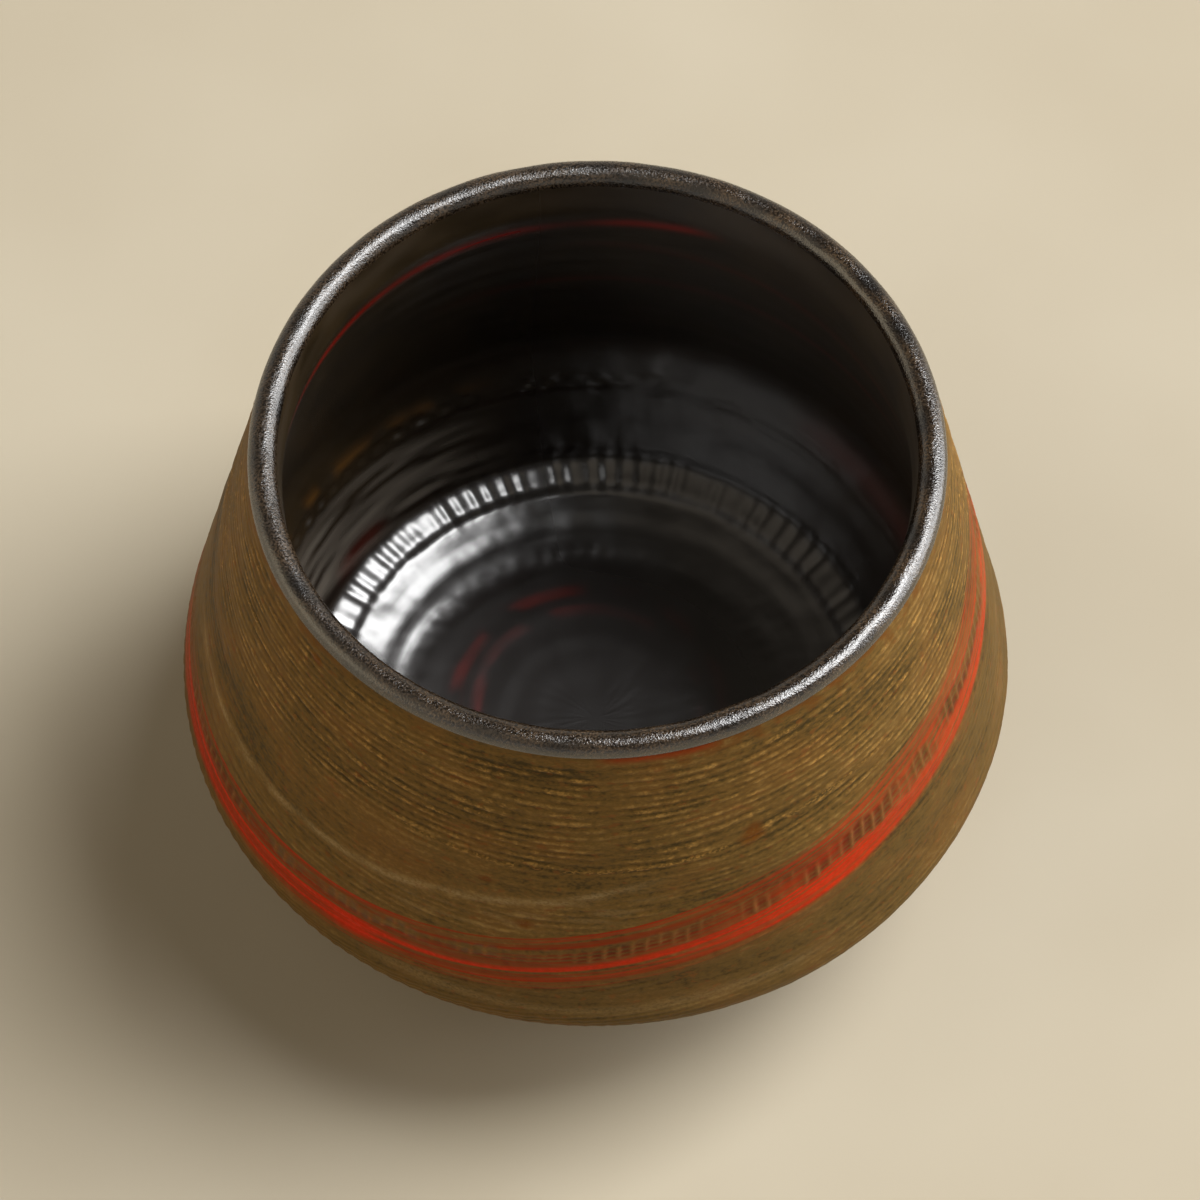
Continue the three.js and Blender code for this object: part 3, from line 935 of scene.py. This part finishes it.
def slip_finish(name, tones, tilt):
    """Matt slip: dark in the grooves and light on the ridges, with brown flecks, bronze flecks that are
    partly painted glints, ash, rust and red where the marks say, and a fine grain drawn out along the lines."""
    finish = Finish(name)
    dark, middle, light = tones
    grain = finish.noise(0.24, (1.8, 1.8, 1.0), tilt)
    speckle = finish.noise(0.2, (1.5, 1.5, 1.0), tilt, detail=2)
    fleck = finish.noise(0.6, (2.0, 2.0, 1.0), tilt, detail=2)
    cloud = finish.noise(5.0, (1.6, 1.6, 1.0), tilt)
    tone = finish.math("ADD", finish.mark("tone"), finish.spread(grain, 0.28, 0.72, -0.1, 0.16))
    tone = finish.math("ADD", tone, finish.spread(cloud, 0.3, 0.7, -0.07, 0.07))
    body = finish.mix(finish.spread(tone, 0.05, 0.45), dark, middle)
    body = finish.mix(finish.spread(cloud, 0.45, 0.7, 0.0, 0.2), body, CLOUD_BROWN)
    body = finish.mix(finish.spread(tone, 0.4, 0.95), body, light)
    body = finish.mix(finish.spread(fleck, 0.6, 0.72, 0.0, 0.5), body, FLECK_BROWN)
    # painted glints: bronze flecks on the ridges
    glint = finish.math("MULTIPLY", finish.mark("bronze_and_glint"), finish.spread(speckle, 0.46, 0.64))
    body = finish.mix(glint, body, BRONZE_AND_GLINT)
    ash = finish.math("MULTIPLY", finish.mark("ash"), finish.spread(speckle, 0.34, 0.6, 0.35, 1.0))
    body = finish.mix(ash, body, ASH)
    rust = finish.math("MULTIPLY", finish.mark("rust"), finish.spread(speckle, 0.3, 0.55, 0.45, 1.0))
    body = finish.mix(rust, body, RUST)
    red = finish.mix(finish.mark("bright"), DEEP_RED, BRIGHT_RED)
    red = finish.mix(finish.mark("cell"), red, CELL_RED)
    red = finish.mix(finish.mark("grey_cell"), red, CELL_GREY)
    red = finish.mix(finish.math("MULTIPLY", finish.mark("upright"), 0.75), red, UPRIGHT_TAN)
    red = finish.mix(finish.spread(grain, 0.3, 0.7, 0.0, 0.3), red, GRAIN_RED)
    body = finish.mix(finish.mark("red"), body, red)
    finish.shade("Base Color", body)
    rough = finish.spread(grain, 0.2, 0.8, 0.5, 0.72)
    rough = finish.math("SUBTRACT", rough, finish.math("MULTIPLY", glint, 0.2))
    finish.shade("Roughness", rough)
    finish.shade("Specular IOR Level", 0.1)
    finish.bump(grain, 0.04, 0.5)
    return finish.material


def inner_finish():
    """Glossy black glaze, brown-black above and blacker towards the floor, with a band under the lip that
    is partly thin glaze and partly painted reflection, a grey bloom that is partly painted highlight, and
    red and rust showing through in rings."""
    finish = Finish("black_glaze")
    grain = finish.noise(0.7)
    cloud = finish.noise(6.0)
    body = finish.mix(finish.spread(cloud, 0.3, 0.7), GLAZE_BROWN, GLAZE_PALE)
    # darker towards the floor
    body = finish.mix(finish.mark("darker_below"), body, GLAZE_DARKER_BELOW)
    # band under the lip: partly thin glaze, partly painted reflection
    body = finish.mix(finish.math("MULTIPLY", finish.mark("glaze_break_and_reflection"), 0.5), body, GLAZE_BREAK_AND_REFLECTION)
    # grey bloom, partly painted highlight, mixed into the glaze colour
    body = finish.mix(finish.math("MULTIPLY", finish.mark("bloom_and_highlight"), 0.7), body, GLAZE_BLOOM_AND_HIGHLIGHT)
    body = finish.mix(finish.mark("rusty"), body, GLAZE_RUST)
    body = finish.mix(finish.mark("red"), body, GLAZE_RED)
    finish.shade("Base Color", body)
    rough = finish.math("ADD", finish.math("MULTIPLY", finish.mark("satin"), 0.15), 0.27)
    finish.shade("Roughness", rough)
    finish.shade("IOR", GLAZE_IOR)
    finish.shade("Specular IOR Level", 1.0)
    finish.bump(grain, 0.02, 0.2)
    return finish.material


def lip_finish():
    """Satin black glaze on the lip, thin and grey-brown in grains where it has worn."""
    finish = Finish("lip_black")
    grain = finish.noise(0.16, detail=2)
    speckle = finish.noise(0.2)
    worn = finish.math("MULTIPLY", finish.mark("worn"), finish.spread(speckle, 0.35, 0.65))
    body = finish.mix(worn, LIP_BLACK, LIP_WORN)
    finish.shade("Base Color", body)
    satin = finish.math("MULTIPLY", finish.mark("satin"), 0.07)
    rough = finish.math("ADD", satin, finish.spread(speckle, 0.35, 0.65, 0.12, 0.28))
    finish.shade("Roughness", rough)
    finish.shade("IOR", GLAZE_IOR)
    finish.shade("Specular IOR Level", 0.75)
    finish.bump(grain, 0.05, 0.9)
    return finish.material


def clay_finish():
    """Bare stoneware clay: warm dark brown with paler grit and darker grooves."""
    finish = Finish("bare_clay")
    grain = finish.noise(0.35)
    cloud = finish.noise(4.0)
    body = finish.mix(finish.spread(cloud, 0.3, 0.7), CLAY_BROWN, CLAY_PALE)
    body = finish.mix(finish.spread(grain, 0.55, 0.75), body, CLAY_GRIT)
    body = finish.mix(finish.spread(finish.mark("grit"), 0.1, 0.4, 0.5, 0.0), body, CLAY_GROOVE)
    finish.shade("Base Color", body)
    finish.shade("Roughness", finish.spread(grain, 0.3, 0.7, 0.72, 0.92))
    finish.bump(grain, 0.08, 0.8)
    return finish.material


# The cup


def rim_start(theta):
    """Length down the wall at the rim: none."""
    return np.zeros_like(theta)


def skirt_end(theta):
    """Length down the wall at the foot: all of it."""
    return np.full_like(theta, outer_length)


olive = slip_finish("olive_slip", OLIVE_TONES, 0.0)
dark = slip_finish("dark_slip", DARK_TONES, BAND_BOTTOM_TILT)
red = slip_finish("red_slip", OLIVE_TONES, BAND_TOP_TILT)
cup = (
    (clay_cup("bare_clay_body", CLAY_GRID), "clay_body", "bare_clay", clay_finish()),
    (glazed_hollow("black_lining", INNER_GRID), "inner_glaze", "black_glaze", inner_finish()),
    (glazed_lip("black_lip", LIP_GRID), "lip_glaze", "lip_black", lip_finish()),
    (slip_coat("olive_coat", UPPER_GRID, rim_start, band_top), "upper_slip", "olive_slip", olive),
    (slip_coat("red_coat", BAND_GRID, band_top, band_bottom), "red_band", "red_slip", red),
    (slip_coat("dark_coat", LOWER_GRID, band_bottom, skirt_end), "lower_slip", "dark_slip", dark),
)
for piece, node, slot, finish in cup:
    piece.data.materials.append(finish)
    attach(piece, "root")
    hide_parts(node)


# Floor, light and camera

FLOOR_SIDE = 3000.0
WHITE = (1.0, 1.0, 1.0)
LAMPS = (  # name, direction from the cup, distance and side in metres, level, tint
    ("key_lamp", (0.52, 0.15, 0.84), 1.8, 1.0, 1.2, WHITE),
    ("side_lamp", (0.93, 0.25, 0.25), 2.4, 1.6, 0.66, WHITE),
    ("fill_lamp", (-0.48, -0.33, 0.81), 2.4, 2.4, 0.1, (1.0, 0.86, 0.68)),
    ("left_card", (-0.95, -0.15, 0.28), 2.4, 2.0, 0.2, (1.0, 0.82, 0.52)),
)
WORLD_RANGE = (0.1, 0.75, 0.5, 0.05)  # two heights of the direction, 1 straight up, and the levels there
WORLD_TINT = (1.0, 0.94, 0.84, 1.0)


def pale_floor():
    """Flat square under the foot, in a pale warm grey with a faint mottle."""
    mesh = bpy.data.meshes.new("pale_floor")
    half = FLOOR_SIDE / 2 * MM
    corners = [(-half, -half, 0), (half, -half, 0), (half, half, 0), (-half, half, 0)]
    mesh.from_pydata(corners, [], [(0, 1, 2, 3)])
    floor = bpy.data.objects.new("pale_floor", mesh)
    bpy.context.scene.collection.objects.link(floor)
    finish = Finish("pale_paper")
    mottle = finish.noise(60.0)
    body = finish.mix(finish.spread(mottle, 0.3, 0.7), PAPER_SHADE, PAPER_PALE)
    finish.shade("Base Color", body)
    finish.shade("Roughness", 0.9)
    floor.data.materials.append(finish.material)


def soft_lamp(name, direction, distance, side, level, tint):
    """Flat square lamp aimed at the cup. Its level is the brightness of a white card that faces it at the
    cup, so its power is pi squared times the distance squared times the level."""
    lamp = bpy.data.lights.new(name, "AREA")
    lamp.shape = "SQUARE"
    lamp.size = side
    lamp.energy = math.pi**2 * distance**2 * level
    lamp.color = tint
    holder = bpy.data.objects.new(name, lamp)
    aim = Vector((0, 0, RIM_HEIGHT * MM / 2))
    towards = Vector(direction).normalized()
    turn = towards.to_track_quat("Z", "Y").to_matrix().to_4x4()
    holder.matrix_world = Matrix.Translation(aim + towards * distance) @ turn
    bpy.context.scene.collection.objects.link(holder)


def studio_world():
    """Soft light from all round: brighter near the horizon and dim overhead."""
    world = bpy.data.worlds.new("studio")
    world.use_nodes = True
    tree = world.node_tree
    background = tree.nodes["Background"]
    place = tree.nodes.new("ShaderNodeTexCoord")
    split = tree.nodes.new("ShaderNodeSeparateXYZ")
    spread = tree.nodes.new("ShaderNodeMapRange")
    spread.interpolation_type = "SMOOTHSTEP"
    for name, number in zip(RANGE_SOCKETS, WORLD_RANGE):
        spread.inputs[name].default_value = number
    tree.links.new(place.outputs["Generated"], split.inputs["Vector"])
    tree.links.new(split.outputs["Z"], spread.inputs["Value"])
    tree.links.new(spread.outputs["Result"], background.inputs["Strength"])
    background.inputs["Color"].default_value = WORLD_TINT
    bpy.context.scene.world = world


PHOTO_SIDE = 1200  # pixels of the square frame
FOCAL_PIXELS = 5000
SENSOR = 36.0
LOOK_DOWN = math.radians(59.68)
ROLL = math.radians(0.64)
RIM_DISTANCE = 429.5
RIM_SEEN_AT = (597.2, 450.3)  # pixel of the middle of the rim


def photo_camera():
    """Camera that looks down at the cup from the front, placed so that the middle of the rim falls on its
    pixel: back from the rim along the view, and aside by the pixel's offset over the focal length."""
    forward = Vector((0, math.cos(LOOK_DOWN), -math.sin(LOOK_DOWN)))
    level_up = Vector((0, math.sin(LOOK_DOWN), math.cos(LOOK_DOWN)))
    right = Vector((1, 0, 0)) * math.cos(ROLL) + level_up * math.sin(ROLL)
    up = level_up * math.cos(ROLL) - Vector((1, 0, 0)) * math.sin(ROLL)
    centre = PHOTO_SIDE / 2
    offset_right = (RIM_SEEN_AT[0] - centre) / FOCAL_PIXELS * RIM_DISTANCE
    offset_up = (centre - RIM_SEEN_AT[1]) / FOCAL_PIXELS * RIM_DISTANCE
    place = Vector((0, 0, RIM_HEIGHT)) - right * offset_right - up * offset_up - forward * RIM_DISTANCE
    camera = bpy.data.cameras.new("camera")
    camera.sensor_width = SENSOR
    camera.lens = SENSOR * FOCAL_PIXELS / PHOTO_SIDE
    holder = bpy.data.objects.new("camera", camera)
    turn = Matrix((right, up, -forward)).transposed().to_4x4()
    holder.matrix_world = Matrix.Translation(place * MM) @ turn
    bpy.context.scene.collection.objects.link(holder)
    bpy.context.scene.camera = holder


pale_floor()
for lamp_values in LAMPS:
    soft_lamp(*lamp_values)
studio_world()
photo_camera()
bpy.context.scene.view_settings.view_transform = "Standard"
